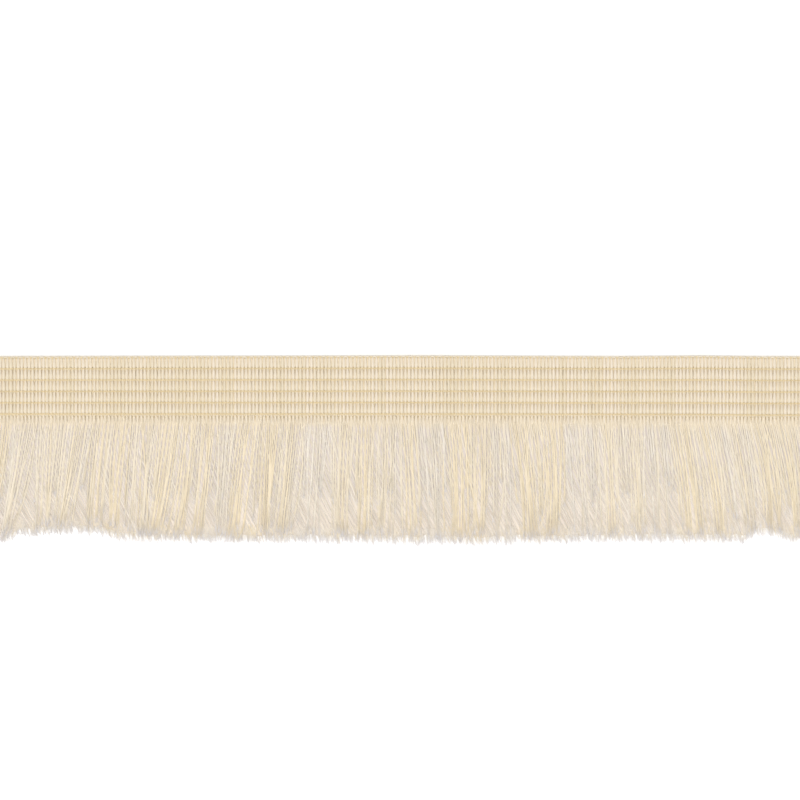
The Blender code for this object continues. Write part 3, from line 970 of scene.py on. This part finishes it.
def bundle(rows, warm):
    """A guide for the tree, from rows of (x, depth, height, share, spread, pile)."""
    x, depth, z, share, spread, pile = np.array(rows).T
    line = np.column_stack([x, at_depth(x, depth), z])
    return line, {"share": share, "spread": spread * MM, "pile": pile * MM,
                  "warm": np.full(len(x), warm)}


def warmth(lock, place, draw):
    """Painted light: strands are warmest in the middle of a tall lock, where most yarn lies
    together.
    """
    tall = column(LOCKS, LOCK_COLUMNS, "height")[lock]
    usual = LOW_WARMTH + WARMER_BY * (tall - LOW_LOCK) - COOLER_BY * abs(place)
    return np.clip(usual + draw.normal(0.0, WARMTH_SPREAD), 0, 1)


print("the tallest lock is number", np.argmax(column(LOCKS, LOCK_COLUMNS, "height")))

# %% The guides of the strands
STRANDS = 2                    # a leg parts into this many
STRAND_TOP = 17.1              # just above the last chain, which hides where the fibres begin
STATIONS = (0.0, 0.09, 0.24, 0.44, 0.64, 0.83, 1.0)
# By share of its length below the strip, its half width and its way from the leg's line
SPREAD = ((0.0, 0.1, 0.5, 0.85, 1.0), (0.17, 0.13, 0.14, 0.20, 0.28))
PARTED = ((0.0, 0.3), (0.35, 0.55))
STRAYS, STRAY_BY = 0.16, 4.0   # one strand in six bows and leans this much more
BOW, LEAN = 0.30, 0.55
LEVEL = (0.02, 0.25)           # how high a strand lies over the mat
PAST_HEM, SHORT_BY = 0.8, 2.8  # the longest strand's reach, and how much shorter others are
SPARSE_HEIGHT = 1.15           # a lock lower than this is thin: its second strands end early
SPARSE_ENDS = (0.25, 0.7)
OUTER = 0.75                   # and so do strands further out in any lock than this
OUTER_ENDS = (0.6, 1.0)


def strand(leg, part, draw):
    """Part of a leg's fibres, which cling together from the last chain down."""
    stray = STRAY_BY if draw.random() < STRAYS else 1.0
    bow = draw.normal(0.0, BOW) * stray
    lean = draw.normal(0.0, LEAN) * stray
    side = 2 * (part + 0.5) / STRANDS - 1
    level = draw.uniform(*LEVEL)
    reach = hem_at(lock_x(leg, 1.0)) + PAST_HEM - SHORT_BY * draw.random() ** 0.8
    until = 1.0
    if part and of_lock(leg, "height") < SPARSE_HEIGHT:
        until = draw.uniform(*SPARSE_ENDS)
    elif abs(root_place[leg]) > OUTER:
        until = draw.uniform(*OUTER_ENDS)
    rows = [
        (roots[leg] + 0.28 * side, STRAND_TOP, 0.60, 0.0, 0.17, 0.25),
        (roots[leg] + 0.32 * side, 18.4, 0.80 + level, 0.02, 0.18, 0.25),
    ]
    for station in STATIONS:
        s = station * until
        x = lock_x(leg, s) + side * np.interp(s, *PARTED)
        x += bow * math.sin(math.pi * s) + lean * s ** 1.3
        rows.append((x, STRIP_FACE + s * (reach - STRIP_FACE), mat_height(x, s) + level,
                     0.04 + 0.96 * station, np.interp(station, *SPREAD), 0.15))
    return bundle(rows, warmth(root_lock[leg], root_place[leg], draw))


print("strands:", STRANDS * LEGS)

# %% The guides of the combed fibres
COMBED_TOP = 17.6
COMB_MARGIN = 16               # lines that enter from beyond the trim's left end
COMB_ENDS = 0.4                # they stay this far inside its two ends
COMB_ASIDE = 0.04
COMB_SHORT_BY = 0.07
COMB_STATIONS = (0.0, 0.15, 0.4, 0.7, 1.0)
COMB_SPREAD = ((0.0, 0.2, 0.6, 1.0), (0.36, 0.24, 0.34, 0.42))
COMB_WARMTH = (0.0, 0.35)


def combed_bundle(number, draw):
    """A thin line of fibres on the mat, the way it was combed."""
    start = leg_x(number) + draw.normal(0.0, COMB_ASIDE)
    until = 1.0 - COMB_SHORT_BY * draw.random()
    rows = []
    for station in COMB_STATIONS:
        s = station * until
        x = np.clip(start + combed(s), -LENGTH / 2 + COMB_ENDS, LENGTH / 2 - COMB_ENDS)
        depth = COMBED_TOP + s * (hem_at(x) - COMBED_TOP)
        rows.append((x, depth, mat_height(x, s), station, np.interp(s, *COMB_SPREAD), 0.15))
    return bundle(rows, draw.uniform(*COMB_WARMTH))


print("combed lines:", COMB_MARGIN + LEGS)

# %% The guides of the brush
BRUSHES = 6 * LEGS
BRUSH_LENGTH = 5.5
BRUSH_LEAN = (0.8, 1.2)        # mostly to the right, as the mat was combed
BRUSH_PAST_HEM, BRUSH_SHORT_BY = 2.2, 1.4
BRUSH_FAN = (0.06, 0.24)


def brush_bundle(x, draw):
    """A few fibres that come out of the mat's end, each to a place of its own."""
    lock, place = in_lock(x, 1.0)
    lean = draw.normal(*BRUSH_LEAN)
    reach = hem_at(x) + BRUSH_PAST_HEM - BRUSH_SHORT_BY * draw.random()
    fan = draw.uniform(*BRUSH_FAN)
    rows = [
        (x - lean, reach - BRUSH_LENGTH, mat_height(x, 0.88) - 0.15, 0.75, 0.28, 0.10),
        (x - 0.5 * lean, reach - 0.5 * BRUSH_LENGTH, 0.14, 0.92, fan, 0.12),
        (x, reach, 0.05, 1.0, fan, 0.15),
    ]
    return bundle(rows, warmth(lock, 1.5 * place, draw))


print("tufts in the brush:", BRUSHES)


# %% The strands in two pieces, then the combed fibres and the brush
def fibre_piece(name, bundles, fibre, **inputs):
    """A piece grown from bundles, whose points also keep where their fibres are rooted."""
    lines = [line for line, numbers in bundles]
    kept = {key: [numbers[key] for line, numbers in bundles] for key in bundles[0][1]}
    guide = guide_lines(name, lines, kept)
    root = guide.data.attributes.new("root", "FLOAT_VECTOR", "POINT")
    starts = np.concatenate([np.tile(line[0], (len(line), 1)) for line in lines]) * MM
    root.data.foreach_set("vector", starts.astype(np.float32).ravel())
    return grown(name, guide, cut_ends, Fibre=fibre, **inputs)


# The tree's usual sizes are a strand's, and the others give only what differs
fringe_strands = []
for number, end in enumerate(("left", "right")):
    draw = np.random.default_rng(21 + number)
    legs = range(number * LEGS // 2, (number + 1) * LEGS // 2)
    strands = [strand(leg, part, draw) for leg in legs for part in range(STRANDS)]
    fringe_strands.append(
        fibre_piece(f"fringe_strands_{end}", strands, strand_fibre, Seed=11 + number)
    )

draw = np.random.default_rng(25)
fringe_combed = fibre_piece(
    "fringe_combed", [combed_bundle(number, draw) for number in range(-COMB_MARGIN, LEGS)],
    combed_fibre, Radius=0.00008, Taper=0.4, Shortest=0.96, Wobble=0.0001, Seed=17,
)
draw = np.random.default_rng(9)
fringe_brush = fibre_piece(
    "fringe_brush",
    [brush_bundle(LENGTH * ((at + 0.5) / BRUSHES - 0.5), draw) for at in range(BRUSHES)],
    strand_fibre, Fibres=4, Radius=0.00008, Thinnest=0.5, Shortest=0.5, Wobble=0.0006, Seed=31,
)

# %% [markdown]
# ## Bodies and hidden solids
#
# Each piece rides on the trim's one body, and the solid that it stands for is hidden.

# %% Bodies and solids
heading_pieces = [heading_ground, weft_left, weft_right]
fringe_pieces = fringe_strands + [fringe_mat, fringe_combed, fringe_brush]
for piece in heading_pieces:
    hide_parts("heading")
for number, piece in enumerate(chain_rows, start=1):
    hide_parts(f"chain_row_{number}")
for piece in fringe_pieces:
    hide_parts("fringe")
every_piece = heading_pieces + chain_rows + fringe_pieces
for piece in every_piece:
    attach(piece, "root")
print(len(every_piece), "pieces")
